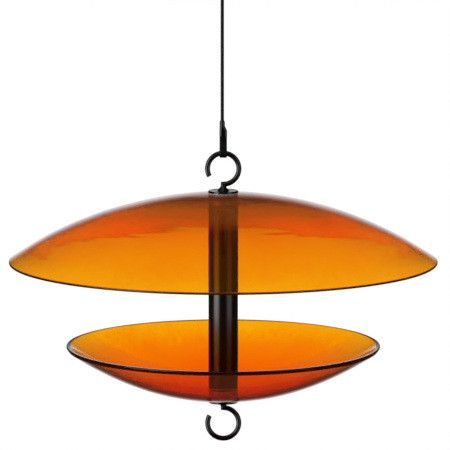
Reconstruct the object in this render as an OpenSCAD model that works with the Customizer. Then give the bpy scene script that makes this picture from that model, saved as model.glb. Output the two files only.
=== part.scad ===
// Hanging bird feeder: a glass dome shelters a glass dish, both clamped to the ends of one tube by two
// screwed wire hooks. A sleeved cable with an eye at each end carries it. Lengths are in millimetres.
// The origin is the point from which everything hangs: the middle of the upper eye's hole. +Z is up.

/* [Glass dome] */
// Diameter of the dome across its rim
dome_d = 406.4; // [300:0.2:500]
// Height of the dome, from the foot of its rim to its top
dome_h = 65.6; // [40:0.2:110]

/* [Glass dish] */
// Diameter of the dish across its rim
dish_d = 298.4; // [220:0.2:400]
// Depth of the dish, from the top of its rim to its underside
dish_h = 52.4; // [30:0.2:90]

/* [Glass] */
// Thickness of the glass
glass_t = 4; // [3:0.1:6]
// Power of the curve that the glass follows: 2 gives a parabola, more gives a flatter middle
glass_power = 2.08; // [2:0.01:2.6]
// Diameter of the hole through the middle of each glass
glass_hole_d = 7; // [6.4:0.1:10]

/* [Centre tube] */
// Outer diameter of the tube
tube_d = 28; // [24:0.2:36]
// Wall of the tube
tube_wall = 1.6; // [1:0.1:2.6]
// Length of the tube alone
tube_l = 180.8; // [140:0.2:260]
// Width of the bevel round each end of the tube
tube_bevel = 0.3; // [0.1:0.1:0.6]

/* [End plugs] */
// Thickness of the flange that covers the end of the tube
flange_t = 2; // [1.4:0.1:4]
// Length of the spigot that is pressed into the tube
spigot_l = 12; // [8:0.5:20]
// Bevel at the inner end of the spigot
spigot_bevel = 0.8; // [0.4:0.1:1.4]

/* [Wire hooks] */
// Diameter of the hooks' wire
wire_d = 4.8; // [4:0.1:5]
// Radius of a hook's ring, to the middle of the wire
ring_r = 14.85; // [12:0.05:24]
// Angle between the stem and the free end of the wire, across the mouth of the ring
mouth_angle = 63; // [50:1:85]
// Height of the stem between the washer and the middle of the ring's wire
stem_l = 5.8; // [5.2:0.1:12]
// Diameter of the stem and of the shank below it
stem_d = 5.2; // [5.2:0.1:6]
// How far the top of the stem stands above the ring's wire
stem_top = 0.3; // [0.1:0.1:1]
// Diameter of the collar where it sits on the washer
collar_d = 10.8; // [9:0.1:14]
// Height of the collar
collar_h = 4.2; // [2.5:0.1:4.8]
// Length of the shank that reaches past the flange into the plug's thread
engagement = 9; // [5:0.5:12]
// Bevel on the cut ends of the wire
wire_bevel = 0.4; // [0.1:0.1:0.8]

/* [Washers and gaskets] */
// How much wider than the tube the metal washers are
washer_over = 1; // [-3:0.2:8]
// Thickness of the metal washers
washer_t = 1.2; // [0.8:0.1:2.4]
// Rounding of the washers' outer edge
washer_round = 0.4; // [0.1:0.05:0.4]
// How much wider than the tube the soft gaskets are
gasket_over = 0; // [-4:0.2:6]
// Thickness of the soft gaskets at the middle
gasket_t = 2; // [1.2:0.1:3]

/* [Cable] */
// Diameter of the coated cable
cable_d = 3.2; // [2.4:0.1:3.6]
// Distance between the holes of the two cable eyes
eye_spacing = 182; // [182:1:400]
// How far the cable runs beside the middle of its eyes
cable_x = -0.9; // [-1:0.1:0]

/* [Cable eyes] */
// Diameter of the hole in a cable eye
eye_hole_d = 6.4; // [6.4:0.1:9]
// Thickness of the band round the hole
band_t = 1.3; // [1:0.1:2.5]
// Width of the band
band_w = 7; // [5.6:0.1:9]
// Thickness of the doubled cable above the hole
shank_t = 4; // [3.4:0.1:5]
// Rounding of the corners of the band as seen from the front
band_round = 1; // [0.4:0.1:1.6]
// Height from the middle of the hole to the foot of the crimp sleeve
crimp_z = 15.8; // [14:0.1:20]
// Height from the middle of the hole to the place where both sides of the band meet
merge_z = 10.5; // [9:0.1:12]

/* [Crimp sleeves] */
// Width of the crimp sleeve
crimp_w = 7.2; // [6.8:0.1:10]
// Thickness of the crimp sleeve from front to back
crimp_t = 5; // [4.8:0.1:7]
// Height of the crimp sleeve's full width
crimp_h = 5.4; // [5:0.1:9]
// Height of its slanted shoulder
shoulder_h = 4.6; // [3:0.1:8]
// Diameter of the neck round the cable
neck_d = 5; // [4.8:0.1:6.6]
// Height of the straight neck
neck_h = 3.4; // [2:0.1:10]
// Height of the taper that ends on the cable
taper_h = 2.1; // [1:0.1:5]
// Wall of the taper where it ends
taper_edge = 0.15; // [0.1:0.05:0.4]
// Height of the tongue of the eye inside the crimp sleeve
tongue_h = 3.8; // [2:0.1:4]
// Wall that the sleeve keeps round the tongue
tongue_wall = 0.9; // [0.6:0.05:1.2]

/* [Clearances] */
// Gap between soft gaskets and the curved glass
glass_fit = 0.05; // [0.02:0.01:0.15]
// Radial gap of the press fit of the plugs in the tube
plug_fit = 0.05; // [0.02:0.01:0.1]
// Radial gap between the hook's shank and the thread of the plug
thread_fit = 0.05; // [0.02:0.01:0.1]
// Radial gap between the hook's shank and the washers and gaskets
shank_fit = 0.2; // [0.1:0.05:0.5]
// Radial gap between the cable and its sockets
cable_fit = 0.05; // [0.02:0.01:0.1]
// Gap round and above the tongue in the crimp sleeve
tongue_fit = 0.1; // [0.05:0.01:0.2]
// Gap under the hook's wire where it hangs in the lower eye
hang_fit = 0.3; // [0.2:0.05:0.6]

/* [Hidden] */

$fn = 96;
// Straight steps along a glass profile, and round its rim
profile_steps = 34;
rim_steps = 10;
// Extra length of a cutting body, past the face that it cuts
over = 1;
// Straight steps along the part of a gasket that follows the glass
gasket_steps = 4;

wire_r = wire_d / 2;
stem_r = stem_d / 2;
washer_d = tube_d + washer_over;
gasket_d = tube_d + gasket_over;
eye_hole_r = eye_hole_d / 2;

// The ring sinks below its top at the edges of the band, and hangs that much lower in the eye
band_sag = ring_r - sqrt(ring_r * ring_r - band_w * band_w / 4);
hook_drop = eye_hole_r - wire_r - band_sag - hang_fit;

// Heights of everything, from the origin down
lower_eye_z = -eye_spacing;
hook_top_z = lower_eye_z - hook_drop;
upper_ring_z = hook_top_z - ring_r;
upper_seat_z = upper_ring_z - ring_r - stem_l;
dome_top_z = upper_seat_z - washer_t - gasket_t;
dome_rim_z = dome_top_z - dome_h;
upper_flange_z = dome_top_z - glass_t - gasket_t;
tube_top_z = upper_flange_z - flange_t;
tube_foot_z = tube_top_z - tube_l;
lower_flange_z = tube_foot_z - flange_t;
dish_foot_z = lower_flange_z - gasket_t - glass_t;
dish_rim_z = dish_foot_z + dish_h;
lower_seat_z = dish_foot_z - gasket_t - washer_t;
lower_ring_z = lower_seat_z - stem_l - ring_r;

// Length of the hook's shank below its collar: it passes the washer, both gaskets, the glass and the
// flange before it reaches the thread
shank_l = washer_t + 2 * gasket_t + glass_t + flange_t + engagement;
spigot_r = tube_d / 2 - tube_wall - plug_fit;

// The cable ends on the floor of its socket in each crimp sleeve
socket_z = crimp_z + crimp_h;
shoulder_z = socket_z + shoulder_h;

// Points of the taut cable's middle line, from the floor of the lower socket to that of the upper one
cable_points = [
    [cable_x, 0, lower_eye_z + socket_z],
    [cable_x, 0, -154], [cable_x, 0, -147], [cable_x, 0, -140], [cable_x, 0, -133], [cable_x, 0, -126],
    [cable_x, 0, -119], [cable_x, 0, -112], [cable_x, 0, -105], [cable_x, 0, -98], [cable_x, 0, -91],
    [cable_x, 0, -84], [cable_x, 0, -77], [cable_x, 0, -70], [cable_x, 0, -63], [cable_x, 0, -56],
    [cable_x, 0, -49], [cable_x, 0, -42], [cable_x, 0, -35], [cable_x, 0, -28],
    [cable_x, 0, -socket_z]
];
cable_sides = 8;

// Middle of the glass wall at radius r, for a glass of rim diameter d and height h. Its height counts from
// the middle of the rim's round edge.
function wall_end(d) = d / 2 - glass_t / 2;
function wall_z(r, d, h) = (h - glass_t) * (1 - pow(r / wall_end(d), glass_power));
function wall_slope(r, d, h) =
    -(h - glass_t) * glass_power / wall_end(d) * pow(r / wall_end(d), glass_power - 1);
function wall_normal(r, d, h) = [-wall_slope(r, d, h), 1] / norm([-wall_slope(r, d, h), 1]);
function wall_point(r, d, h, side) =
    [r, glass_t / 2 + wall_z(r, d, h)] + side * glass_t / 2 * wall_normal(r, d, h);

// A point of the half-round edge, turned by the angle a from the outer face of the glass
function edge_point(a, d, h) =
    let (n = wall_normal(wall_end(d), d, h))
    [wall_end(d), glass_t / 2]
    + glass_t / 2 * [n.x * cos(a) + n.y * sin(a), n.y * cos(a) - n.x * sin(a)];

// Outline of one half of a glass: outer face, round edge, inner face
function glass_outline(d, h) = concat(
    [for (i = [0 : profile_steps - 1]) wall_point(wall_end(d) * i / profile_steps, d, h, 1)],
    [for (i = [0 : rim_steps]) edge_point(180 * i / rim_steps, d, h)],
    [for (i = [profile_steps - 1 : -1 : 0]) wall_point(wall_end(d) * i / profile_steps, d, h, -1)]
);

// A bowl of glass with its rim down on z = 0 and a hole at its top
module glass_bowl(d, h) {
    difference() {
        rotate_extrude($fn = 180)
            polygon(glass_outline(d, h));
        translate([0, 0, h - glass_t - over])
            cylinder(d = glass_hole_d, h = glass_t + 2 * over);
    }
}

// How far the glass falls away from its top at radius r
function glass_fall(r, d, h) = (h - glass_t) * pow(r / wall_end(d), glass_power);

// A gasket on the outer face of a glass whose top is at z = 0, or with side = -1 on its inner face
module gasket(d, h, side) {
    hole_r = stem_r + shank_fit;
    step = (gasket_d / 2 - hole_r) / gasket_steps;
    curved = [
        for (i = [0 : gasket_steps])
            let (r = hole_r + i * step)
            [r, side * glass_fit - glass_fall(r, d, h)]
    ];
    flat = side * gasket_t;
    rotate_extrude()
        polygon(concat(curved, [[gasket_d / 2, flat], [hole_r, flat]]));
}

// A round bar that stands on z = 0, with a bevel at its foot and its top
module bevelled_bar(r, h, foot_bevel, top_bevel) {
    rotate_extrude($fn = 48)
        polygon([
            [0, 0],
            [r - foot_bevel, 0],
            [r, foot_bevel],
            [r, h - top_bevel],
            [r - top_bevel, h],
            [0, h]
        ]);
}

// What is cut off round the end of a wire that ends on z = 0, to leave a bevel
module bevel_cutter() {
    low = -wire_bevel - over;
    h = wire_bevel + 2 * over;
    difference() {
        translate([0, 0, low])
            cylinder(r = wire_r + 2 * over, h = h, $fn = 48);
        translate([0, 0, low])
            cylinder(r1 = wire_r + over, r2 = wire_r - wire_bevel - over, h = h, $fn = 48);
    }
}

// The round wire of a hook, in the XZ plane. It starts under the middle and ends above the mouth.
module wire_ring() {
    end_angle = 270 - mouth_angle;
    difference() {
        rotate([90, 0, 0])
            rotate([0, 0, -90])
                rotate_extrude(angle = end_angle + 90)
                    translate([ring_r, 0])
                        circle(r = wire_r, $fn = 48);
        translate([ring_r * cos(end_angle), 0, ring_r * sin(end_angle)])
            rotate([0, -end_angle, 0])
                bevel_cutter();
    }
}

// A wire ring welded into the side of a stud with a collar. The collar stands on the washer, on z = 0, and
// the shank goes down. The ring starts inside the stud.
module wire_hook() {
    translate([0, 0, stem_l + ring_r])
        wire_ring();
    translate([0, 0, -shank_l])
        bevelled_bar(stem_r, shank_l + stem_l + wire_r + stem_top, wire_bevel, wire_bevel);
    cylinder(d1 = collar_d, d2 = stem_d, h = collar_h, $fn = 64);
}

// A flat washer with a rounded outer edge, its lower face on z = 0
module washer() {
    hole_r = stem_r + shank_fit;
    edge_r = washer_d / 2 - washer_round;
    rotate_extrude() {
        translate([hole_r, 0])
            square([edge_r - hole_r, washer_t]);
        translate([edge_r - over, washer_round])
            square([washer_round + over, washer_t - 2 * washer_round]);
        for (z = [washer_round, washer_t - washer_round])
            translate([edge_r, z])
                circle(r = washer_round, $fn = 32);
    }
}

// A plug with its flange's outer face on z = 0 and its spigot going down
module end_plug() {
    bore_r = stem_r + thread_fit;
    foot_z = -flange_t - spigot_l;
    rotate_extrude()
        polygon([
            [bore_r, 0],
            [tube_d / 2 - tube_bevel, 0],
            [tube_d / 2, -tube_bevel],
            [tube_d / 2, -flange_t],
            [spigot_r, -flange_t],
            [spigot_r, foot_z + spigot_bevel],
            [spigot_r - spigot_bevel, foot_z],
            [bore_r + spigot_bevel, foot_z],
            [bore_r, foot_z + spigot_bevel]
        ]);
}

// A flat shape of width w and thickness t with half-round ends, extruded upwards
module stadium_bar(w, t, h) {
    linear_extrude(h) {
        square([w - t, t], center = true);
        for (x = [-1, 1])
            translate([x * (w - t) / 2, 0])
                circle(d = t, $fn = 48);
    }
}

// Side view of the eye, x to the front and y up: a round band whose tangents run in to the shank
module eye_side() {
    band_r = eye_hole_r + band_t;
    corner = [shank_t / 2, merge_z];
    touch = atan2(corner.y, corner.x) - acos(band_r / norm(corner));
    circle(r = band_r);
    polygon([
        [-band_r * cos(touch), band_r * sin(touch)],
        [-corner.x, corner.y],
        [-corner.x, crimp_z],
        [corner.x, crimp_z],
        corner,
        [band_r * cos(touch), band_r * sin(touch)],
        [0, 0]
    ]);
}

// Front view of the eye, with its lower corners rounded
module eye_front() {
    low = -eye_hole_r - band_t;
    translate([-band_w / 2, low + band_round])
        square([band_w, crimp_z - low - band_round]);
    translate([-band_w / 2 + band_round, low])
        square([band_w - 2 * band_round, band_round + over]);
    for (side = [-1, 1])
        translate([side * (band_w / 2 - band_round), low + band_round])
            circle(r = band_round, $fn = 48);
}

// The loop of the cable, with its hole along X at the origin and its tongue going up
module cable_eye() {
    difference() {
        intersection() {
            rotate([90, 0, 90])
                translate([0, 0, -band_w])
                    linear_extrude(2 * band_w)
                        eye_side();
            rotate([90, 0, 0])
                translate([0, 0, -2 * eye_hole_d])
                    linear_extrude(4 * eye_hole_d)
                        eye_front();
        }
        rotate([0, 90, 0])
            translate([0, 0, -band_w])
                cylinder(r = eye_hole_r, h = 2 * band_w);
    }
    translate([0, 0, crimp_z - over])
        stadium_bar(crimp_w - 2 * tongue_wall - 2 * tongue_fit,
                    crimp_t - 2 * tongue_wall - 2 * tongue_fit, tongue_h + over);
}

// Front view of the crimp sleeve's body: straight on the cable's side, slanted on the other
module crimp_front() {
    polygon([
        [-crimp_w / 2, crimp_z],
        [crimp_w / 2, crimp_z],
        [crimp_w / 2, socket_z],
        [cable_x + neck_d / 2, shoulder_z],
        [-crimp_w / 2, shoulder_z]
    ]);
}

// The sleeve that grips the doubled cable, with its neck round the single cable
module crimp_sleeve() {
    neck_top_z = shoulder_z + neck_h;
    difference() {
        union() {
            intersection() {
                translate([0, 0, crimp_z])
                    stadium_bar(crimp_w, crimp_t, crimp_h + shoulder_h);
                rotate([90, 0, 0])
                    translate([0, 0, -crimp_t])
                        linear_extrude(2 * crimp_t)
                            crimp_front();
            }
            translate([cable_x, 0, socket_z])
                cylinder(d = neck_d, h = neck_top_z - socket_z, $fn = 64);
            translate([cable_x, 0, neck_top_z])
                cylinder(d1 = neck_d, d2 = cable_d + 2 * (cable_fit + taper_edge), h = taper_h, $fn = 64);
        }
        translate([cable_x, 0, socket_z])
            cylinder(d = cable_d + 2 * cable_fit, h = shoulder_h + neck_h + taper_h + over, $fn = 64);
        translate([0, 0, crimp_z - over])
            stadium_bar(crimp_w - 2 * tongue_wall, crimp_t - 2 * tongue_wall,
                        tongue_h + tongue_fit + over);
    }
}

// A tube swept along points that lie above one another, with one ring of corners at each point
module upright_tube(points, d, sides) {
    corners = [
        for (p = points, k = [0 : sides - 1])
            p + d / 2 * [cos(360 * k / sides), sin(360 * k / sides), 0]
    ];
    last = (len(points) - 1) * sides;
    walls = [
        for (i = [0 : len(points) - 2], k = [0 : sides - 1])
            let (a = i * sides, b = a + sides, next = (k + 1) % sides)
            [a + k, b + k, b + next, a + next]
    ];
    ends = [
        [for (k = [0 : sides - 1]) k],
        [for (k = [sides - 1 : -1 : 0]) last + k]
    ];
    polyhedron(corners, concat(walls, ends));
}

module glass_dome() {
    color([1, 0.56, 0.05, 0.6])
        translate([0, 0, dome_rim_z])
            glass_bowl(dome_d, dome_h);
}

module glass_dish() {
    color([0.98, 0.4, 0.04, 0.6])
        translate([0, 0, dish_rim_z])
            mirror([0, 0, 1])
                glass_bowl(dish_d, dish_h);
}

module centre_tube() {
    color([0.06, 0.06, 0.06])
        translate([0, 0, tube_foot_z])
            rotate_extrude()
                polygon([
                    [tube_d / 2 - tube_wall, 0],
                    [tube_d / 2 - tube_bevel, 0],
                    [tube_d / 2, tube_bevel],
                    [tube_d / 2, tube_l - tube_bevel],
                    [tube_d / 2 - tube_bevel, tube_l],
                    [tube_d / 2 - tube_wall, tube_l]
                ]);
}

module upper_end_plug() {
    color([0.7, 0.7, 0.72])
        translate([0, 0, upper_flange_z])
            end_plug();
}

module lower_end_plug() {
    color([0.7, 0.7, 0.72])
        translate([0, 0, lower_flange_z])
            rotate([180, 0, 0])
                end_plug();
}

module upper_hook() {
    color([0.08, 0.08, 0.08])
        translate([0, 0, upper_seat_z])
            wire_hook();
}

module lower_hook() {
    color([0.08, 0.08, 0.08])
        translate([0, 0, lower_seat_z])
            rotate([180, 0, 0])
                wire_hook();
}

module upper_washer() {
    color([0.1, 0.1, 0.11])
        translate([0, 0, upper_seat_z - washer_t])
            washer();
}

module lower_washer() {
    color([0.1, 0.1, 0.11])
        translate([0, 0, lower_seat_z])
            washer();
}

module upper_outer_gasket() {
    color([0.85, 0.85, 0.85, 0.7])
        translate([0, 0, dome_top_z])
            gasket(dome_d, dome_h, 1);
}

module upper_inner_gasket() {
    color([0.85, 0.85, 0.85, 0.7])
        translate([0, 0, dome_top_z - glass_t])
            gasket(dome_d, dome_h, -1);
}

module lower_inner_gasket() {
    color([0.85, 0.85, 0.85, 0.7])
        translate([0, 0, dish_foot_z + glass_t])
            mirror([0, 0, 1])
                gasket(dish_d, dish_h, -1);
}

module lower_outer_gasket() {
    color([0.85, 0.85, 0.85, 0.7])
        translate([0, 0, dish_foot_z])
            mirror([0, 0, 1])
                gasket(dish_d, dish_h, 1);
}

module hanging_cable() {
    color([0.03, 0.03, 0.03])
        upright_tube(cable_points, cable_d, cable_sides);
}

module upper_cable_eye() {
    color([0.05, 0.05, 0.05])
        rotate([180, 0, 0])
            cable_eye();
}

module lower_cable_eye() {
    color([0.05, 0.05, 0.05])
        translate([0, 0, lower_eye_z])
            cable_eye();
}

module upper_crimp_sleeve() {
    color([0.07, 0.07, 0.07])
        rotate([180, 0, 0])
            crimp_sleeve();
}

module lower_crimp_sleeve() {
    color([0.07, 0.07, 0.07])
        translate([0, 0, lower_eye_z])
            crimp_sleeve();
}

glass_dome();
glass_dish();
centre_tube();
upper_end_plug();
lower_end_plug();
upper_hook();
lower_hook();
upper_washer();
lower_washer();
upper_outer_gasket();
upper_inner_gasket();
lower_inner_gasket();
lower_outer_gasket();
hanging_cable();
upper_cable_eye();
lower_cable_eye();
upper_crimp_sleeve();
lower_crimp_sleeve();
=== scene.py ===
import math

import bmesh
import bpy
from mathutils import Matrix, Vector, noise


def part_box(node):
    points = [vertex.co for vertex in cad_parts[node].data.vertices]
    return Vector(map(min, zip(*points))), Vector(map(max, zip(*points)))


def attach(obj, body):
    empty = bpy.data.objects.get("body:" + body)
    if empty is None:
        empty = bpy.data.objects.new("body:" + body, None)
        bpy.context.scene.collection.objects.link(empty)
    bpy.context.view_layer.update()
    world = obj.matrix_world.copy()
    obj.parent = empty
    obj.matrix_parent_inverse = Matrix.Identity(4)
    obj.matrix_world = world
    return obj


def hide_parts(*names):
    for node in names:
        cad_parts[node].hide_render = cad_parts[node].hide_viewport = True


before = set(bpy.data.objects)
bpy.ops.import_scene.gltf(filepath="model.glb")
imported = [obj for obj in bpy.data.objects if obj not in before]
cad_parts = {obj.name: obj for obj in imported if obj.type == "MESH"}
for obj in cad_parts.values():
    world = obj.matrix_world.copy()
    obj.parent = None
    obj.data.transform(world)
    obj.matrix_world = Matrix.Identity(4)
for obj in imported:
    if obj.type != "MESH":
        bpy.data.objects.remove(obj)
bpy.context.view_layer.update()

# The looks of a hanging bird feeder: an amber glass dome over an amber glass dish, clamped to the ends of a
# black tube by two wire hooks, and hung from a sleeved cable. Lengths are in metres, in the frame's place.
# Sizes that part.scad also sets have its names in capitals, with _R where it gives a diameter.

MM = 0.001
# Faces that meet at more than this angle have a sharp edge between them
SHARP_ANGLE = 38

# Glass
GLASS_T = 4 * MM
GLASS_POWER = 2.08
GLASS_HOLE_R = 3.5 * MM
HOLE_EDGE = 0.3 * MM
GLASS_SIDES = 360
FACE_STEPS = 100
FACE_CROWDING = 1.2
RIM_STEPS = 12
GLASS_SHARP_ANGLE = 60
# The glass's thickness at shares of its radius: the slumped sheet was drawn thinner in places, and its melted
# rim is narrower
DOME_THICKNESS = [(0.08, GLASS_T), (0.42, 3.1 * MM), (0.62, 3.6 * MM), (0.84, 3.8 * MM), (1.0, 2.4 * MM)]
DISH_THICKNESS = [(0.99, GLASS_T), (1.0, 2 * MM)]
# Slumped glass is uneven. Each wave has its length, its height and the share of it that isn't the same on
# both faces. The ripples run round the middle, and each has its width, its turn in radians, its height and
# that share. Near the middle and the rim the glass is calm.
WAVES = [(80 * MM, 0.25 * MM, 0.2), (34 * MM, 0.05 * MM, 0.2)]
RIPPLES = [(14 * MM, 0.5, 0.03 * MM, 0.3), (5 * MM, 0.3, 0.016 * MM, 1.0)]
CALM_MIDDLE_R = 18 * MM
CALM_RIM = 9 * MM
DOME_SEED = 1.3
DISH_SEED = 6.1
FACE_SEED = 50
FACE_SEED_STEP = 9.1

# The glass's looks: its colour at shares of its radius, the painted shade on its melted edge (a darker colour
# for the dark rim line), how hazy its thicker middle is, and the clouds and specks that make its colour
# uneven
DOME_COLOURS = [
    (0.0, (0.52, 0.17, 0.01)), (0.4, (0.62, 0.21, 0.01)), (0.6, (0.93, 0.27, 0.01)), (1.0, (1, 0.48, 0.012)),
]
DISH_COLOURS = [
    (0.0, (0.95, 0.12, 0.02)), (0.5, (1, 0.17, 0.02)), (0.8, (1, 0.33, 0.02)), (1.0, (1, 0.6, 0.02)),
]
# Painted shade: these darker edge colours stand in for the dark line along each rim
DOME_EDGE_PAINTED_SHADE = (0.3, 0.1, 0.01)
DISH_EDGE_PAINTED_SHADE = (0.12, 0.03, 0.01)
EDGE_DEPTH = 0.8 * MM
EDGE_SOFT = 0.2 * MM
EDGE_ROUGH = 0.3
DOME_HAZE = 0.16
DISH_HAZE = 0.0
HAZE_FADE = (0.4, 0.6)
GLASS_IOR = 1.42
GLASS_CLEAR = 0.995
GLASS_ROUGH = 0.03
GLASS_BODY = (1, 0.93, 0.45, 1)
GLASS_DENSITY = 1070
CLOUD_SCALE = 16
CLOUD_DEPTH = 0.14
SPECK_TURNS = 25
SPECK_ROWS = 330
SPECK_DEPTH = 0.15
SPECK_FADE = (0.62, 0.92)

# Coats, metal and vinyl: how finely their gloss varies, in waves per metre, and the height of their relief
COAT_PATCHES = 60
METAL_PATCHES = 200
VINYL_CLOUDS = 300
COAT_RELIEF = 0.1 * MM
LATHE_RELIEF = 0.05 * MM

# Hooks
WIRE_R = 2.4 * MM
WIRE_SIDES = 36
RING_R = 14.85 * MM
RING_START = -78
RING_STEPS = 99
MOUTH_ANGLE = 63
STEM_L = 5.8 * MM
STEM_R = 2.6 * MM
COLLAR_R = 5.4 * MM
COLLAR_H = 4.2 * MM
COLLAR_EDGE = 0.2 * MM
COLLAR_DRAFT = 0.1 * MM
COLLAR_FOOT_H = 0.5 * MM
COLLAR_FLARE = 1.35
COLLAR_STEPS = 8
SHANK_L = 20.2 * MM
SHANK_TIP = 0.1 * MM
SHANK_TIP_L = 0.6 * MM
WIRE_BEVEL = 0.4 * MM
BEND_WEAR = 0.93
THREAD_PITCH = 0.8 * MM
THREAD_DEPTH = 0.42 * MM
THREAD_SHAPE = 1.2
THREAD_STEPS = 8
LEFT = Vector((-1, 0, 0))

# Washers, gaskets, tube and plugs
ROUND_SIDES = 96
WASHER_R = 14.5 * MM
WASHER_T = 1.2 * MM
WASHER_ROUND = 0.4 * MM
WASHER_BEVEL = 0.15 * MM
WASHER_LEAN = 0.4 * MM
WASHER_DISH = 0.22 * MM
WASHER_STEPS = 16
UPPER_LIP = 0.7 * MM
UPPER_RIM = 0
LOWER_LIP = 0.4 * MM
LOWER_RIM = 0.6 * MM
GASKET_R = 14 * MM
GASKET_T = 2 * MM
GASKET_BULGE = 0.35 * MM
GASKET_STEPS = 8
GLASS_FIT = 0.05 * MM
BORE_R = 2.8 * MM
TUBE_R = 14 * MM
TUBE_WALL = 1.6 * MM
TUBE_BEVEL = 0.3 * MM
TUBE_SIDES = 128
TUBE_STEPS = 30
FLANGE_T = 2 * MM
SPIGOT_L = 12 * MM
SPIGOT_BEVEL = 0.8 * MM
PLUG_FIT = 0.05 * MM
PLUG_BORE_R = 2.65 * MM

# Cable, its eyes and its crimp sleeves
EYE_SPACING = 182 * MM
CABLE_R = 1.6 * MM
CABLE_X = -0.9 * MM
CABLE_SIDES = 28
CABLE_STEPS = 150
CABLE_STRANDS = 7
CABLE_LAY = 24 * MM
CABLE_RELIEF = 0.05 * MM
EYE_HOLE_R = 3.2 * MM
BAND_T = 1.3 * MM
BAND_W = 7 * MM
BAND_ROUND = 1 * MM
BAND_STEPS = 60
HOLE_ROUNDING = 0.35
SHANK_T = 4 * MM
MERGE_Z = 10.5 * MM
CRIMP_Z = 15.8 * MM
CRIMP_W = 7.2 * MM
CRIMP_T = 5 * MM
CRIMP_H = 5.4 * MM
CRIMP_EDGE = 0.35 * MM
CRIMP_DENT = 0.12 * MM
CRIMP_FULLNESS = 1.6
CRIMP_SIDES = 48
SHOULDER_H = 4.6 * MM
SHOULDER_SOFT = 0.35
NECK_R = 2.5 * MM
NECK_H = 3.4 * MM
TAPER_H = 2.1 * MM
TAPER_EDGE = 0.15 * MM
CABLE_FIT = 0.05 * MM

# The cable's middle line, from the floor of the lower crimp sleeve's socket to that of the upper one, with a
# point every 7 mm
SOCKET_Z = CRIMP_Z + CRIMP_H
CABLE_ROUTE = [Vector((CABLE_X, 0, SOCKET_Z - EYE_SPACING))]
CABLE_ROUTE += [Vector((CABLE_X, 0, z * MM)) for z in range(-154, -27, 7)]
CABLE_ROUTE += [Vector((CABLE_X, 0, -SOCKET_Z))]

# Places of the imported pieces, and how high each glass stands
DOME_LOW, DOME_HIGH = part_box("glass_dome")
DISH_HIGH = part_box("glass_dish")[1]
DOME_H = 65.6 * MM
DISH_H = 52.4 * MM
DOME_RIM_Z = DOME_LOW.z
DISH_RIM_Z = DISH_HIGH.z
DOME_TOP_Z = DOME_RIM_Z + DOME_H
DISH_FOOT_Z = DISH_RIM_Z - DISH_H
UPPER_SEAT_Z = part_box("upper_washer")[1].z
LOWER_SEAT_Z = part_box("lower_washer")[0].z
TUBE_FOOT_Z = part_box("centre_tube")[0].z
TUBE_TOP_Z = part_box("centre_tube")[1].z

# The camera, found by fitting the rims and the tube to the photograph
CAMERA_TARGET = Vector((0, 0, DOME_RIM_Z))
CAMERA_DISTANCE = 3.590
CAMERA_ELEVATION = 8.45
CAMERA_PITCH = -7.886
CAMERA_YAW = -0.027
CAMERA_LENS = 302.6

# The floor, with the distances between which it fades to white
FLOOR_Z = -1.0
FLOOR_R = 3.0
FLOOR_RINGS = 24
FLOOR_FADE = (0.7, 2.0)
FLOOR_LIFT = 0.35

# The soft lamps as name, azimuth, elevation, distance, width, height and power, and the room's even light
LAMPS = [
    ("left_softbox", -56, -2, 1.7, 0.8, 1.3, 14),
    ("right_softbox", 52, 0, 2.2, 0.6, 1.2, 4),
    ("top_front_softbox", -25, 58, 2.2, 1.2, 1.2, 16),
]
FILL_LIGHT = 0.55
WHITE = (1, 1, 1, 1)

# What reflections see: a dim room, and soft lights as azimuth, elevation, stretch, inner and outer
# half-angle, and strength. They are the backdrop, the left, the right and the top light.
ROOM_GLOSS = 0.03
GLOWS = [
    (180, -5, (2, 1, 1.6), 5, 32, 0.9),
    (-55, -4, (1, 1, 0.5), 10, 26, 4),
    (49, -4, (1, 1, 0.5), 10, 26, 1.1),
    (-25, 55, (1, 1, 1), 10, 45, 0.6),
]
# What is seen by rays that go through glass and are reflected there, by the direction's Z from -1 to 1: the
# bright floor, the dim room behind the camera, the bright walls and the dimmer ceiling. Where such a ray
# meets the floor itself, it has its own level.
INNER_LEVELS = [(-0.25, 1.7), (-0.2, 0.03), (-0.1, 0.03), (0.0, 0.6), (0.55, 0.6), (0.75, 0.3)]
INNER_FLOOR = 0.25


# Meshes


def loft(rings, closed=False):
    """Faces between rings of equally many points. Its ends are capped, unless it closes on itself."""
    count = len(rings[0])
    verts = [point for ring in rings for point in ring]
    faces = []
    for i in range(len(rings) if closed else len(rings) - 1):
        a, b = i * count, (i + 1) % len(rings) * count
        for k in range(count):
            n = (k + 1) % count
            faces.append((a + k, a + n, b + n, b + k))
    if not closed:
        faces.append(tuple(range(count)))
        faces.append(tuple(range((len(rings) - 1) * count, len(rings) * count)))
    return verts, faces


def turned(profile, sides, closed=True):
    """A body of revolution round Z, from the (radius, height) points of its section."""
    turns = [2 * math.pi * k / sides for k in range(sides)]
    rings = [[Vector((r * math.cos(t), r * math.sin(t), z)) for t in turns] for r, z in profile]
    return loft(rings, closed)


def moved(shape, height, upside_down=False):
    """The shape raised to a height, or first turned over round X."""
    verts, faces = shape
    flip = -1 if upside_down else 1
    return [Vector((v.x, flip * v.y, flip * v.z + height)) for v in verts], faces


def add_piece(name, shape, material, body, cad_node, sharp=SHARP_ANGLE):
    """Makes a smooth piece that rides on a body and stands for a CAD node."""
    verts, faces = shape
    mesh = bpy.data.meshes.new(name)
    mesh.from_pydata(verts, [], faces)
    work = bmesh.new()
    work.from_mesh(mesh)
    bmesh.ops.recalc_face_normals(work, faces=work.faces)
    work.to_mesh(mesh)
    work.free()
    mesh.polygons.foreach_set("use_smooth", [True] * len(mesh.polygons))
    mesh.set_sharp_from_angle(angle=math.radians(sharp))
    mesh.materials.append(material)
    piece = bpy.data.objects.new(name, mesh)
    bpy.context.scene.collection.objects.link(piece)
    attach(piece, body)
    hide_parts(cad_node)
    return piece


def arc(centre, radius, start, end, steps):
    """Points (x, y) on an arc, with angles in degrees."""
    angles = [math.radians(start + (end - start) * i / steps) for i in range(steps + 1)]
    return [(centre[0] + radius * math.cos(a), centre[1] + radius * math.sin(a)) for a in angles]


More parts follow.
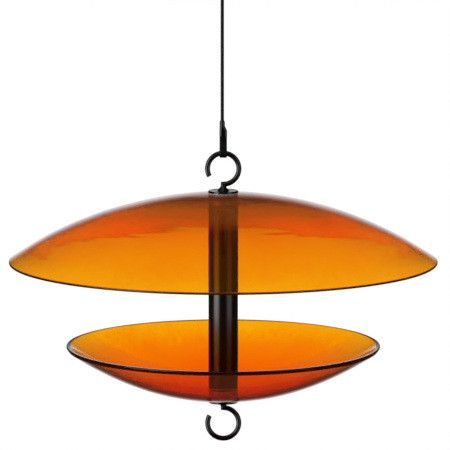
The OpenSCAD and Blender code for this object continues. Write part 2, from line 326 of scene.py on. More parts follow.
def blend_in(value, start, end):
    """0 at start, 1 at end and smooth between."""
    t = min(max((value - start) / (end - start), 0), 1)
    return t * t * (3 - 2 * t)


# Materials


def node(tree, kind, inputs=None, **settings):
    """Adds a shader node. An input is given a value, or linked where the value is a socket."""
    made = tree.nodes.new("ShaderNode" + kind)
    for key, value in settings.items():
        setattr(made, key, value)
    for key, value in (inputs or {}).items():
        if isinstance(value, bpy.types.NodeSocket):
            tree.links.new(value, made.inputs[key])
        else:
            made.inputs[key].default_value = value
    return made


def new_tree(name):
    """A material with an empty node tree, and its output node."""
    material = bpy.data.materials.new(name)
    material.use_nodes = True
    material.node_tree.nodes.clear()
    return material, material.node_tree, node(material.node_tree, "OutputMaterial")


def math_node(tree, operation, a, b=0.0, c=0.0):
    return node(tree, "Math", {0: a, 1: b, 2: c}, operation=operation).outputs[0]


def noise_at(tree, position, scale, detail=3.0):
    """A noise from 0 to 1 over the piece, with scale in waves per metre."""
    inputs = {"Vector": position, "Scale": scale, "Detail": detail, "Roughness": 0.5}
    return node(tree, "TexNoise", inputs).outputs["Fac"]


def smooth_step(tree, value, start, end, low, high):
    """low up to the value start, high from the value end, and smooth between."""
    inputs = {"Value": value, "From Min": start, "From Max": end, "To Min": low, "To Max": high}
    return node(tree, "MapRange", inputs, interpolation_type="SMOOTHSTEP").outputs[0]


def ranged(tree, value, low, high):
    """The 0 to 1 value mapped to low to high."""
    return node(tree, "MapRange", {"Value": value, "To Min": low, "To Max": high}).outputs[0]


def mixed(tree, factor, first, second):
    """A colour between the first and the second."""
    inputs = {"Factor": factor, "A": first, "B": second}
    return node(tree, "Mix", inputs, data_type="RGBA").outputs["Result"]


def uneven_share(tree, position, flat, distance, share):
    """The share of the radius, made uneven by soft clouds and, further out, by specks that run round."""
    cloud = ranged(tree, noise_at(tree, position, CLOUD_SCALE), -CLOUD_DEPTH, CLOUD_DEPTH)
    heading = node(tree, "VectorMath", {0: flat}, operation="NORMALIZE").outputs[0]
    along = node(tree, "VectorMath", {0: heading, "Scale": SPECK_TURNS}, operation="SCALE").outputs[0]
    across = node(tree, "CombineXYZ", {"Z": math_node(tree, "MULTIPLY", distance, SPECK_ROWS)}).outputs[0]
    spread = node(tree, "VectorMath", {0: along, 1: across}, operation="ADD").outputs[0]
    speck = ranged(tree, noise_at(tree, spread, 1), -SPECK_DEPTH, SPECK_DEPTH)
    outer = smooth_step(tree, share, *SPECK_FADE, 0.0, 1.0)
    uneven = math_node(tree, "ADD", cloud, math_node(tree, "MULTIPLY", speck, outer))
    return math_node(tree, "ADD", share, uneven)


def amber_glass(name, radius, stops, edge_shade_colour, haze):
    """Clear amber glass. Its colour goes by the share of the radius. The thicker middle is a little hazy, and
    the outer side of the melted edge is dull, with painted shade on it: a darker colour for the dark rim
    line."""
    material, tree, out = new_tree(name)
    position = node(tree, "TexCoord").outputs["Object"]
    flat = node(tree, "VectorMath", {0: position, 1: (1, 1, 0)}, operation="MULTIPLY").outputs[0]
    distance = node(tree, "VectorMath", {0: flat}, operation="LENGTH").outputs["Value"]
    share = math_node(tree, "DIVIDE", distance, radius)
    ramp = node(tree, "ValToRGB", {"Fac": uneven_share(tree, position, flat, distance, share)})
    fill_ramp(ramp.color_ramp, stops)
    # The edge band is rougher, and its darker colour is painted shade for the dark rim line
    edge_start = radius - EDGE_DEPTH
    edge = smooth_step(tree, distance, edge_start - EDGE_SOFT, edge_start + EDGE_SOFT, 0.0, 1.0)
    colour = mixed(tree, edge, ramp.outputs["Color"], (*edge_shade_colour, 1))
    glass = node(tree, "BsdfPrincipled", {
        "Base Color": colour,
        "IOR": GLASS_IOR,
        "Roughness": math_node(tree, "MULTIPLY_ADD", edge, EDGE_ROUGH - GLASS_ROUGH, GLASS_ROUGH),
        "Transmission Weight": smooth_step(tree, share, *HAZE_FADE, GLASS_CLEAR - haze, GLASS_CLEAR),
    })
    passing = node(tree, "BsdfTransparent", {"Color": colour})
    light = node(tree, "LightPath")
    through = math_node(tree, "MAXIMUM", light.outputs["Is Shadow Ray"], light.outputs["Is Diffuse Ray"])
    mix = node(tree, "MixShader", {0: through, 1: glass.outputs[0], 2: passing.outputs[0]})
    body = node(tree, "VolumeAbsorption", {"Color": GLASS_BODY, "Density": GLASS_DENSITY})
    tree.links.new(mix.outputs[0], out.inputs["Surface"])
    tree.links.new(body.outputs[0], out.inputs["Volume"])
    return material


def fill_ramp(ramp, stops):
    """Sets a colour ramp's stops, given as (place, colour)."""
    while len(ramp.elements) < len(stops):
        ramp.elements.new(1.0)
    for element, (place, colour) in zip(ramp.elements, stops):
        element.position = place
        element.color = (*colour, 1)


def paint(name, colour, roughness, grain, relief, coat=0.0, gloss=0.5):
    """Black paint or coating with an uneven gloss and a fine orange-peel relief."""
    material, tree, out = new_tree(name)
    position = node(tree, "TexCoord").outputs["Object"]
    patches = noise_at(tree, position, COAT_PATCHES, 4)
    peel = noise_at(tree, position, grain, 2)
    bump = node(tree, "Bump", {"Strength": relief, "Distance": COAT_RELIEF, "Height": peel})
    shader = node(tree, "BsdfPrincipled", {
        "Base Color": mixed(tree, patches, (*colour, 1), (*[1.6 * c for c in colour], 1)),
        "Roughness": ranged(tree, patches, roughness - 0.05, roughness + 0.07),
        "Specular IOR Level": gloss,
        "Coat Weight": coat,
        "Coat Roughness": 0.12,
        "Normal": bump.outputs[0],
    })
    tree.links.new(shader.outputs[0], out.inputs["Surface"])
    return material


def turned_metal(name, colour, roughness):
    """Bare metal with the fine rings that a lathe leaves."""
    material, tree, out = new_tree(name)
    position = node(tree, "TexCoord").outputs["Object"]
    rings = node(tree, "TexWave", {"Vector": position, "Scale": 900, "Distortion": 0.6, "Detail": 1.0},
                 wave_type="RINGS", rings_direction="Z")
    bump = node(tree, "Bump", {"Strength": 0.25, "Distance": LATHE_RELIEF, "Height": rings.outputs["Fac"]})
    patches = noise_at(tree, position, METAL_PATCHES)
    shader = node(tree, "BsdfPrincipled", {
        "Base Color": (*colour, 1),
        "Metallic": 1.0,
        "Roughness": ranged(tree, patches, roughness - 0.08, roughness + 0.08),
        "Normal": bump.outputs[0],
    })
    tree.links.new(shader.outputs[0], out.inputs["Surface"])
    return material


def clear_vinyl(name):
    """Soft milky vinyl that lets some light through."""
    material, tree, out = new_tree(name)
    position = node(tree, "TexCoord").outputs["Object"]
    cloud = noise_at(tree, position, VINYL_CLOUDS, 2)
    bump = node(tree, "Bump", {"Strength": 0.1, "Distance": COAT_RELIEF, "Height": cloud})
    shader = node(tree, "BsdfPrincipled", {
        "Base Color": mixed(tree, cloud, (0.7, 0.69, 0.7, 1), (0.78, 0.77, 0.78, 1)),
        "Roughness": ranged(tree, cloud, 0.2, 0.35),
        "IOR": 1.52,
        "Transmission Weight": 0.6,
        "Normal": bump.outputs[0],
    })
    tree.links.new(shader.outputs[0], out.inputs["Surface"])
    return material


# Glass


def glass_wave(r, turn, side, seed):
    """How far the glass's face stands off its smooth shape at radius r. The two faces differ by side."""
    c, s = math.cos(turn), math.sin(turn)
    waves = [(Vector((r * c / length, r * s / length, seed + i)), height, share)
             for i, (length, height, share) in enumerate(WAVES)]
    waves += [(Vector((c / turns + seed, s / turns, r / width)), height, share)
              for width, turns, height, share in RIPPLES]
    own = Vector((FACE_SEED + FACE_SEED_STEP * side, 0, 0))
    return sum(height * (noise.noise(at) + share * noise.noise(at + own)) for at, height, share in waves)


def thickness_at(share, stops):
    """The thickness at a share of the radius, smooth between its stops."""
    thickness = stops[0][1]
    for (start, _), (end, next_thickness) in zip(stops, stops[1:]):
        thickness += (next_thickness - thickness) * blend_in(share, start, end)
    return thickness


def glass_section(radius, height, thickness):
    """The section of a bowl of glass with its rim down near z = 0, a half-round edge and a hole through its
    top. A point goes with 1 on the outer face, -1 on the inner one and 0 on an edge."""
    rim_r = thickness[-1][1] / 2
    wall_end = radius - rim_r
    curve_end = radius - GLASS_T / 2
    rise = height - GLASS_T

    def wall_middle(r):
        return GLASS_T / 2 + rise * (1 - (r / curve_end) ** GLASS_POWER)

    def wall_normal(r):
        slope = -rise * GLASS_POWER / curve_end * (r / curve_end) ** (GLASS_POWER - 1)
        return Vector((-slope, 1)).normalized()

    def face_point(r, side):
        return Vector((r, wall_middle(r))) + side * thickness_at(r / wall_end, thickness) / 2 * wall_normal(r)

    def edge_point(turn):
        n = wall_normal(wall_end)
        c, s = math.cos(turn), math.sin(turn)
        outward = Vector((n.x * c + n.y * s, n.y * c - n.x * s))
        return Vector((wall_end, wall_middle(wall_end))) + rim_r * outward

    first = GLASS_HOLE_R + HOLE_EDGE
    shares = [1 - (1 - i / FACE_STEPS) ** FACE_CROWDING for i in range(FACE_STEPS)]
    radii = [first + (wall_end - first) * share for share in shares]
    section = [(face_point(r, 1), 1) for r in radii]
    section += [(edge_point(math.pi * i / RIM_STEPS), 0) for i in range(RIM_STEPS + 1)]
    section += [(face_point(r, -1), -1) for r in reversed(radii)]
    low, high = face_point(first, -1).y, face_point(first, 1).y
    section += [(Vector((GLASS_HOLE_R, low + HOLE_EDGE)), 0), (Vector((GLASS_HOLE_R, high - HOLE_EDGE)), 0)]
    return section


def glass_bowl(radius, height, seed, thickness):
    """A round bowl of uneven glass, with its rim down near z = 0."""
    wall_end = radius - thickness[-1][1] / 2
    rings = []
    for point, side in glass_section(radius, height, thickness):
        ring = []
        calm = blend_in(point.x, CALM_MIDDLE_R, 2 * CALM_MIDDLE_R) * blend_in(wall_end - point.x, 0, CALM_RIM)
        for k in range(GLASS_SIDES):
            turn = 2 * math.pi * k / GLASS_SIDES
            lift = calm * abs(side) * glass_wave(point.x, turn, side, seed)
            ring.append(Vector((point.x * math.cos(turn), point.x * math.sin(turn), point.y + lift)))
        rings.append(ring)
    return loft(rings, closed=True)


def glass_fall(r, radius, height):
    """How far the glass falls away from its top at radius r."""
    return (height - GLASS_T) * (r / (radius - GLASS_T / 2)) ** GLASS_POWER


def gasket(radius, height, side):
    """A soft ring on the outer face of a glass whose top is at z = 0, or with side = -1 on its inner face."""
    flat_r = GASKET_R - GASKET_BULGE
    radii = [BORE_R + (flat_r - BORE_R) * i / GASKET_STEPS for i in range(GASKET_STEPS + 1)]
    profile = [(r, side * GLASS_FIT - glass_fall(r, radius, height)) for r in radii]
    low, high = profile[-1][1], side * GASKET_T
    for i in range(1, GASKET_STEPS):
        share = i / GASKET_STEPS
        r = GASKET_R - GASKET_BULGE * (1 - math.sin(math.pi * share))
        profile.append((r, low + (high - low) * share))
    profile += [(r, high) for r in reversed(radii)]
    return turned(profile, ROUND_SIDES)


# Turned pieces


def washer(lip, rim):
    """A washer with its seat on z = 0. It has a shallow dish in its upper face, whose edge can stand out by a
    rim, a side that leans in towards it, and a lip down round the gasket."""
    r, t, edge, bevel = WASHER_R, WASHER_T, WASHER_ROUND, WASHER_BEVEL
    top_r = r - edge - WASHER_LEAN
    profile = [(GASKET_R, 0), (GASKET_R, -lip), (r - bevel, -lip), (r, bevel - lip)]
    profile += arc((top_r, t + rim - edge), edge, 0, 90, 5)
    for i in range(1, WASHER_STEPS):
        share = i / WASHER_STEPS
        lift = rim * (1 - blend_in(share, 0, 0.5)) - WASHER_DISH * math.sin(math.pi * share) ** 2
        profile.append((top_r - (top_r - COLLAR_R) * share, t + lift))
    profile += [(BORE_R + bevel, t), (BORE_R, t - bevel), (BORE_R, bevel), (BORE_R + bevel, 0)]
    return turned(profile, ROUND_SIDES)


def tube():
    """The tube with its rolled ends, standing on z = 0."""
    length = TUBE_TOP_Z - TUBE_FOOT_Z
    edge = TUBE_BEVEL
    profile = [(TUBE_R - TUBE_WALL, 0)] + arc((TUBE_R - edge, edge), edge, -90, 0, 5)
    profile += [(TUBE_R, edge + (length - 2 * edge) * i / TUBE_STEPS) for i in range(1, TUBE_STEPS)]
    profile += arc((TUBE_R - edge, length - edge), edge, 0, 90, 5) + [(TUBE_R - TUBE_WALL, length)]
    return turned(profile, TUBE_SIDES)


def end_plug():
    """A plug with its flange's outer face on z = 0 and its spigot going down."""
    spigot_r = TUBE_R - TUBE_WALL - PLUG_FIT
    foot = -FLANGE_T - SPIGOT_L
    edge = TUBE_BEVEL
    profile = [(PLUG_BORE_R, 0)] + list(reversed(arc((TUBE_R - edge, -edge), edge, 0, 90, 4)))
    profile += [(TUBE_R, -FLANGE_T), (spigot_r, -FLANGE_T), (spigot_r, foot + SPIGOT_BEVEL)]
    profile += [(spigot_r - SPIGOT_BEVEL, foot), (PLUG_BORE_R + SPIGOT_BEVEL, foot)]
    profile += [(PLUG_BORE_R, foot + SPIGOT_BEVEL)]
    return turned(profile, ROUND_SIDES)


# Hooks


def wire_section(centre, inward, radius):
    """A round section of the hook's wire, in the plane of Y and of the inward direction. Its radius is a
    number or a function of the turn."""
    ring = []
    for k in range(WIRE_SIDES):
        turn = 2 * math.pi * k / WIRE_SIDES
        r = radius(turn) if callable(radius) else radius
        ring.append(centre + r * (math.cos(turn) * inward + math.sin(turn) * Vector((0, 1, 0))))
    return ring


def thread_radius(z, fade, trim):
    """The radius round the shank at height z, less a trim. Its screw thread fades out at its ends."""
    def radius(turn):
        phase = (z / THREAD_PITCH + turn / (2 * math.pi)) % 1
        return STEM_R - fade * THREAD_DEPTH * (1 - abs(2 * phase - 1)) ** THREAD_SHAPE - trim
    return radius


def shank_sections():
    """Round sections of the threaded shank, from its narrower tip up to the washer."""
    count = round(SHANK_L / THREAD_PITCH * THREAD_STEPS)
    sections = [wire_section(Vector((0, 0, -SHANK_L)), LEFT, STEM_R - THREAD_DEPTH - SHANK_TIP)]
    for i in range(1, count):
        z = -SHANK_L * (1 - i / count)
        fade = blend_in(z + SHANK_L, 0, THREAD_PITCH) * (1 - blend_in(z, -2 * THREAD_PITCH, -THREAD_PITCH))
        trim = (1 - blend_in(z + SHANK_L, 0, SHANK_TIP_L)) * THREAD_DEPTH
        sections.append(wire_section(Vector((0, 0, z)), LEFT, thread_radius(z, fade, trim)))
    return sections


def collar_sections():
    """Round sections of the collar, from its foot on z = 0 up to the wire."""
    flare_r = COLLAR_R - COLLAR_DRAFT
    outline = [(STEM_R, 0), (COLLAR_R - COLLAR_EDGE, 0), (COLLAR_R, COLLAR_EDGE), (flare_r, COLLAR_FOOT_H)]
    for i in range(1, COLLAR_STEPS + 1):
        share = i / COLLAR_STEPS
        r = WIRE_R + (flare_r - WIRE_R) * (1 - share) ** COLLAR_FLARE
        outline.append((r, COLLAR_FOOT_H + (COLLAR_H - COLLAR_FOOT_H) * share))
    return [wire_section(Vector((0, 0, z)), LEFT, r) for r, z in outline]


def mitre_section(corner):
    """The slanting section of the wire in its sharp bend, a little worn at its outer corner."""
    ring = []
    for k in range(WIRE_SIDES):
        turn = 2 * math.pi * k / WIRE_SIDES
        across = WIRE_R * math.cos(turn) * (BEND_WEAR if math.cos(turn) > 0 else 1)
        ring.append(corner + Vector((-across, WIRE_R * math.sin(turn), across)))
    return ring


def ring_sections():
    """Round sections of the open ring, from the bend round to its bevelled tip."""
    centre = Vector((0, 0, STEM_L + RING_R))
    last = 270 - MOUTH_ANGLE
    stations = [(math.radians(RING_START + (last - RING_START) * i / RING_STEPS), WIRE_R)
                for i in range(RING_STEPS + 1)]
    stations.append((math.radians(last) + WIRE_BEVEL / RING_R, WIRE_R - WIRE_BEVEL))
    sections = []
    for turn, r in stations:
        inward = Vector((-math.cos(turn), 0, -math.sin(turn)))
        sections.append(wire_section(centre - RING_R * inward, inward, r))
    return sections


def wire_hook():
    """A hook bent from wire: a threaded shank, a collar on z = 0, a sharp bend and an open ring."""
    bend = mitre_section(Vector((0, 0, STEM_L)))
    return loft(shank_sections() + collar_sections() + [bend] + ring_sections())


# Cable


def cable():
    """The coated cable, with the faint twist of the strands under its coating."""
    bottom, top = CABLE_ROUTE[0].z, CABLE_ROUTE[-1].z
    rings = []
    for i in range(CABLE_STEPS + 1):
        z = bottom + (top - bottom) * i / CABLE_STEPS
        ring = []
        for k in range(CABLE_SIDES):
            turn = 2 * math.pi * k / CABLE_SIDES
            twist = CABLE_STRANDS * (turn - 2 * math.pi * z / CABLE_LAY)
            r = CABLE_R - CABLE_RELIEF * (0.5 - 0.5 * math.cos(twist))
            ring.append(Vector((CABLE_X + r * math.cos(turn), r * math.sin(turn), z)))
        rings.append(ring)
    return loft(rings)


def eye_outline(inset):
    """Outline of the eye from the side, as (y, z) points, pulled in by inset: a round band and its shank."""
    band_r = EYE_HOLE_R + BAND_T - inset
    corner = Vector((SHANK_T / 2 - inset, MERGE_Z))
    touch = math.degrees(math.atan2(corner.y, corner.x) - math.acos(band_r / corner.length))
    points = arc((0, 0), band_r, -180 - touch, touch, BAND_STEPS)
    band_end = Vector(points[-1])
    points += [tuple(band_end.lerp(corner, i / 6)) for i in range(1, 7)]
    points += [(corner.x, MERGE_Z + (CRIMP_Z - MERGE_Z) * i / 5) for i in range(1, 6)]
    points += [(-corner.x, CRIMP_Z - (CRIMP_Z - MERGE_Z) * i / 5) for i in range(6)]
    band_start = Vector((-band_end.x, band_end.y))
    points += [tuple(Vector((-corner.x, MERGE_Z)).lerp(band_start, i / 6)) for i in range(1, 6)]
    return points


def eye_rim(inset, count):
    """Outline of the eye's hole, widened by inset."""
    return arc((0, 0), EYE_HOLE_R + inset, 0, 360 - 360 / count, count - 1)


def cable_eye():
    """The sleeved loop of the cable with its hole along X at the origin."""
    edge = BAND_ROUND
    half = BAND_W / 2
    stations = [(-half + edge - edge * math.cos(a), edge - edge * math.sin(a))
                for a in [math.pi / 2 * i / 5 for i in range(6)]]
    stations += [(-x, inset) for x, inset in reversed(stations)]
    outer = []
    for x, inset in stations:
        outer.append([Vector((x, y, z)) for y, z in eye_outline(inset)])
    count = len(outer[0])
    inner = []
    for x, inset in reversed(stations):
        inner.append([Vector((x, y, z)) for y, z in eye_rim(HOLE_ROUNDING * inset, count)])
    start = math.atan2(outer[0][0].z, outer[0][0].y)
    shift = round(start / (2 * math.pi) * count) % count
    inner = [ring[shift:] + ring[:shift] for ring in inner]
    return loft(outer + inner, closed=True)


def pressed_ring(width, thickness, middle_x, z):
    """A ring of points, round or pressed to an oval with full cheeks."""
    fullness = 2 + CRIMP_FULLNESS * (width / thickness - 1)
    ring = []
    for k in range(CRIMP_SIDES):
        turn = 2 * math.pi * (k + 0.5) / CRIMP_SIDES
        c, s = math.cos(turn), math.sin(turn)
        reach = (abs(c) ** fullness + abs(s) ** fullness) ** (-1 / fullness)
        ring.append(Vector((middle_x + width / 2 * reach * c, thickness / 2 * reach * s, z)))
    return ring


def crimp_sleeve():
    """The pressed sleeve that grips the doubled cable, with its neck round the single cable."""
    shoulder_z = SOCKET_Z + SHOULDER_H
    neck_z = shoulder_z + NECK_H
    top_z = neck_z + TAPER_H
    bore_r = CABLE_R + CABLE_FIT
    edge = CRIMP_EDGE
    rings = [pressed_ring(CRIMP_W - 2 * edge, CRIMP_T - 2 * edge, 0, CRIMP_Z)]
    for a in (30, 60, 90):
        pull = edge * (1 - math.sin(math.radians(a)))
        low = edge * (1 - math.cos(math.radians(a)))
        rings.append(pressed_ring(CRIMP_W - 2 * pull, CRIMP_T - 2 * pull, 0, CRIMP_Z + low))
    for i in range(1, 6):
        dent = CRIMP_DENT * math.sin(math.pi * i / 5) ** 2
        z = CRIMP_Z + edge + (CRIMP_H - edge) * i / 5
        rings.append(pressed_ring(CRIMP_W, CRIMP_T - 2 * dent, 0, z))
    for i in range(1, 11):
        share = i / 10
        soft = blend_in(share, 0, 1) * SHOULDER_SOFT + share * (1 - SHOULDER_SOFT)
        width = CRIMP_W + (2 * NECK_R - CRIMP_W) * soft
        rings.append(pressed_ring(width, CRIMP_T, CABLE_X * soft, SOCKET_Z + SHOULDER_H * share))
    for i in range(1, 5):
        rings.append(pressed_ring(2 * NECK_R, 2 * NECK_R, CABLE_X, shoulder_z + NECK_H * i / 4))
    for i in range(1, 6):
        r = NECK_R + (bore_r + TAPER_EDGE - NECK_R) * blend_in(i / 5, 0, 1)
        rings.append(pressed_ring(2 * r, 2 * r, CABLE_X, neck_z + TAPER_H * i / 5))
    rings += [pressed_ring(2 * bore_r, 2 * bore_r, CABLE_X, z) for z in (top_z, SOCKET_Z)]
    return loft(rings)


# Stage


def towards(azimuth, elevation):
    """The direction to a side, from angles in degrees. Azimuth 0 is the camera's side and 90 the right."""
    a, e = math.radians(azimuth), math.radians(elevation)
    return Vector((math.sin(a) * math.cos(e), -math.cos(a) * math.cos(e), math.sin(e)))


def add_camera():
    """The camera of the photograph. It stands a few degrees over the target and is aimed just above it."""
    data = bpy.data.cameras.new("camera")
    data.lens = CAMERA_LENS
    data.sensor_width = 36
    data.clip_start = 0.05
    data.clip_end = 100
    camera = bpy.data.objects.new("camera", data)
    camera.location = CAMERA_TARGET + CAMERA_DISTANCE * towards(0, CAMERA_ELEVATION)
    camera.rotation_euler = (math.radians(90 + CAMERA_PITCH), 0, math.radians(CAMERA_YAW))
    bpy.context.scene.collection.objects.link(camera)
    bpy.context.scene.camera = camera


def seen_ray(tree):
    """1 for rays that show the background, from the camera or straight through glass, and the node that tells
    rays apart."""
    light = node(tree, "LightPath")
    direct = math_node(tree, "MAXIMUM", light.outputs["Is Camera Ray"], light.outputs["Is Transmission Ray"])
    straight = math_node(tree, "LESS_THAN", light.outputs["Glossy Depth"], 0.5)
    return math_node(tree, "MULTIPLY", direct, straight), light


def background(tree, strength):
    return node(tree, "Background", {"Color": WHITE, "Strength": strength}).outputs[0]


def emission(tree, strength):
    return node(tree, "Emission", {"Color": WHITE, "Strength": strength}).outputs[0]


def mixed_shader(tree, factor, first, second):
    """A shader between the first and the second."""
    return node(tree, "MixShader", {0: factor, 1: first, 2: second}).outputs[0]


def glow(tree, direction, azimuth, elevation, stretch, inner, outer, strength):
    """A soft light that reflections see in the world. The stretch squeezes directions before they are
    compared, and inner and outer are its half-angles."""
    middle = Vector([c * s for c, s in zip(towards(azimuth, elevation), stretch)]).normalized()
    squeezed = node(tree, "VectorMath", {0: direction, 1: stretch}, operation="MULTIPLY").outputs[0]
    unit = node(tree, "VectorMath", {0: squeezed}, operation="NORMALIZE").outputs[0]
    near = node(tree, "VectorMath", {0: unit, 1: middle}, operation="DOT_PRODUCT").outputs["Value"]
    start, end = math.cos(math.radians(outer)), math.cos(math.radians(inner))
    return smooth_step(tree, near, start, end, 0.0, strength)


def reflected_level(tree, light):
    """How bright reflections see the world: outside a dim room with its soft lights, and through glass the
    levels by height with the left and the right light."""
    direction = node(tree, "TexCoord").outputs["Generated"]
    backdrop, left, right, top = [glow(tree, direction, *lamp) for lamp in GLOWS]
    sides = math_node(tree, "ADD", left, right)
    far_lights = math_node(tree, "ADD", backdrop, top)
    outside = math_node(tree, "ADD", math_node(tree, "ADD", far_lights, sides), ROOM_GLOSS)
    up = node(tree, "SeparateXYZ", {0: direction}).outputs["Z"]
    levels = node(tree, "ValToRGB", {"Fac": math_node(tree, "MULTIPLY_ADD", up, 0.5, 0.5)})
    fill_ramp(levels.color_ramp, [((z + 1) / 2, (level, level, level)) for z, level in INNER_LEVELS])
    inside = math_node(tree, "ADD", levels.outputs["Color"], sides)
    through_glass = math_node(tree, "GREATER_THAN", light.outputs["Transmission Depth"], 0.5)
    return node(tree, "Mix", {"Factor": through_glass, "A": outside, "B": inside}).outputs[0]


def add_world():
    """White to the camera and straight through glass, dimmer to reflections and to the light that fills."""
    world = bpy.data.worlds.new("world")
    bpy.context.scene.world = world
    world.use_nodes = True
    tree = world.node_tree
    tree.nodes.clear()
    out = node(tree, "OutputWorld")
    seen, light = seen_ray(tree)
    glossy = background(tree, reflected_level(tree, light))
    unseen = mixed_shader(tree, light.outputs["Is Glossy Ray"], background(tree, FILL_LIGHT), glossy)
    shown = mixed_shader(tree, seen, unseen, background(tree, 1.0))
    tree.links.new(shown, out.inputs["Surface"])


def floor_material():
    """Pale floor that keeps the shadow near the middle and turns plain white far out. Seen from below it's
    clear."""
    material, tree, out = new_tree("floor")
    seen, light = seen_ray(tree)
    position = node(tree, "TexCoord").outputs["Object"]
    distance = node(tree, "VectorMath", {0: position}, operation="LENGTH").outputs["Value"]
    far = smooth_step(tree, distance, *FLOOR_FADE, 0.0, 1.0)
    paper = node(tree, "BsdfDiffuse", {"Color": (0.8, 0.8, 0.8, 1)}).outputs[0]
    lift = emission(tree, math_node(tree, "MULTIPLY", seen, FLOOR_LIFT))
    near = node(tree, "AddShader", {0: paper, 1: lift}).outputs[0]
    shown = mixed_shader(tree, math_node(tree, "MULTIPLY", far, seen), near, emission(tree, 1.0))
    reflected = math_node(tree, "GREATER_THAN", light.outputs["Glossy Depth"], 0.5)
    in_mirror = math_node(tree, "MULTIPLY", light.outputs["Is Glossy Ray"], reflected)
    upper = mixed_shader(tree, in_mirror, shown, emission(tree, INNER_FLOOR))
    below = node(tree, "NewGeometry").outputs["Backfacing"]
    final = mixed_shader(tree, below, upper, node(tree, "BsdfTransparent").outputs[0])
    tree.links.new(final, out.inputs["Surface"])
    return material


def add_floor():
    """A round floor under the hanging feeder, facing up. Of the two caps from loft, the wide one is deleted,
    and the small one in the middle is kept."""
    radii = [FLOOR_R * i / FLOOR_RINGS for i in range(FLOOR_RINGS, 0, -1)]
    verts, faces = turned([(r, 0) for r in radii], ROUND_SIDES, closed=False)
    del faces[-2]
    mesh = bpy.data.meshes.new("floor")
    mesh.from_pydata(verts, [], faces)
    mesh.materials.append(floor_material())
    floor = bpy.data.objects.new("floor", mesh)
    floor.location.z = FLOOR_Z
    floor.visible_glossy = False
    bpy.context.scene.collection.objects.link(floor)


def add_lamp(name, azimuth, elevation, distance, width, height, power):
    """A soft rectangular lamp that faces the feeder. It lights, and no ray from the camera meets it."""
    away = towards(azimuth, elevation)
    data = bpy.data.lights.new(name, "AREA")
    data.shape = "RECTANGLE"
    data.size, data.size_y = width, height
    data.energy = power
    lamp = bpy.data.objects.new(name, data)
    lamp.location = CAMERA_TARGET + distance * away
    lamp.rotation_euler = (-away).to_track_quat("-Z", "Y").to_euler()
    lamp.visible_camera = False
    lamp.visible_glossy = False
    lamp.visible_transmission = False
    bpy.context.scene.collection.objects.link(lamp)


# The feeder

bpy.context.scene.view_settings.view_transform = "Standard"
add_camera()

BLACK_VINYL = paint("black_vinyl_coat", (0.0012, 0.0012, 0.0013), roughness=0.4, grain=2600, relief=0.15,
                    gloss=0.2)
BLACK_CRIMP = paint("black_crimp_coat", (0.0012, 0.0012, 0.0013), roughness=0.16, grain=1800, relief=0.1)
cable_piece = add_piece("cable_line", cable(), BLACK_VINYL, "cable", "hanging_cable")
eye = cable_eye()
crimp = crimp_sleeve()
cable_ends = [
    add_piece("eye_upper", moved(eye, 0, True), BLACK_VINYL, "cable", "upper_cable_eye"),
    add_piece("eye_lower", moved(eye, -EYE_SPACING), BLACK_VINYL, "cable", "lower_cable_eye"),
    add_piece("crimp_upper", moved(crimp, 0, True), BLACK_CRIMP, "cable",
              "upper_crimp_sleeve"),
    add_piece("crimp_lower", moved(crimp, -EYE_SPACING), BLACK_CRIMP, "cable",
              "lower_crimp_sleeve"),
]

DOME_GLASS = amber_glass("dome_amber", DOME_HIGH.x, DOME_COLOURS, DOME_EDGE_PAINTED_SHADE, DOME_HAZE)
DISH_GLASS = amber_glass("dish_amber", DISH_HIGH.x, DISH_COLOURS, DISH_EDGE_PAINTED_SHADE, DISH_HAZE)
dome_shape = glass_bowl(DOME_HIGH.x, DOME_H, DOME_SEED, DOME_THICKNESS)
dish_shape = glass_bowl(DISH_HIGH.x, DISH_H, DISH_SEED, DISH_THICKNESS)
add_piece("dome_glass", moved(dome_shape, DOME_RIM_Z), DOME_GLASS, "feeder",
          "glass_dome", GLASS_SHARP_ANGLE)
add_piece("dish_glass", moved(dish_shape, DISH_RIM_Z, True), DISH_GLASS, "feeder",
          "glass_dish", GLASS_SHARP_ANGLE)

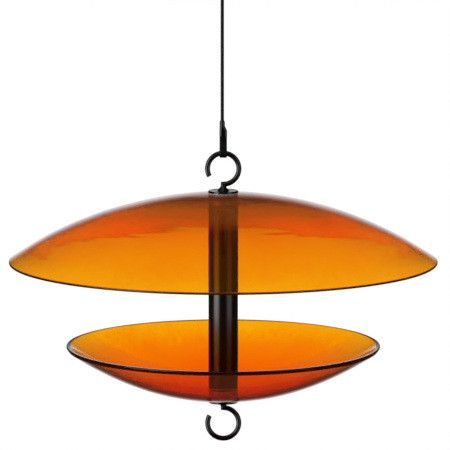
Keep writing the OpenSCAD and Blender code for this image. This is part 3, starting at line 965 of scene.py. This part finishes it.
BLACK_TUBE = paint("black_tube_enamel", (0.002, 0.002, 0.0021), roughness=0.22, grain=900, relief=0.1,
                   coat=0.1)
ALUMINIUM = turned_metal("aluminium_turned", (0.62, 0.62, 0.64), roughness=0.3)
add_piece("tube_body", moved(tube(), TUBE_FOOT_Z), BLACK_TUBE, "feeder", "centre_tube")
plug = end_plug()
add_piece("plug_upper", moved(plug, TUBE_TOP_Z + FLANGE_T), ALUMINIUM, "feeder",
          "upper_end_plug")
add_piece("plug_lower", moved(plug, TUBE_FOOT_Z - FLANGE_T, True), ALUMINIUM, "feeder",
          "lower_end_plug")

BLACK_WIRE = paint("black_wire_coat", (0.0008, 0.0008, 0.0009), roughness=0.14, grain=1500, relief=0.05,
                   coat=0.1)
hook = wire_hook()
upper_washer, lower_washer = washer(UPPER_LIP, UPPER_RIM), washer(LOWER_LIP, LOWER_RIM)
for name, shape, cad_node in [
    ("hook_upper", moved(hook, UPPER_SEAT_Z), "upper_hook"),
    ("hook_lower", moved(hook, LOWER_SEAT_Z, True), "lower_hook"),
    ("washer_upper", moved(upper_washer, UPPER_SEAT_Z - WASHER_T), "upper_washer"),
    ("washer_lower", moved(lower_washer, LOWER_SEAT_Z + WASHER_T, True), "lower_washer"),
]:
    add_piece(name, shape, BLACK_WIRE, "feeder", cad_node)

CLEAR_VINYL = clear_vinyl("clear_vinyl_soft")
for name, height, radius, bowl_h, side, upside_down in [
    ("upper_outer", DOME_TOP_Z, DOME_HIGH.x, DOME_H, 1, False),
    ("upper_inner", DOME_TOP_Z - GLASS_T, DOME_HIGH.x, DOME_H, -1, False),
    ("lower_inner", DISH_FOOT_Z + GLASS_T, DISH_HIGH.x, DISH_H, -1, True),
    ("lower_outer", DISH_FOOT_Z, DISH_HIGH.x, DISH_H, 1, True),
]:
    add_piece("gasket_" + name, moved(gasket(radius, bowl_h, side), height, upside_down), CLEAR_VINYL,
              "feeder", name + "_gasket")

add_world()
add_floor()
for lamp in LAMPS:
    add_lamp(*lamp)
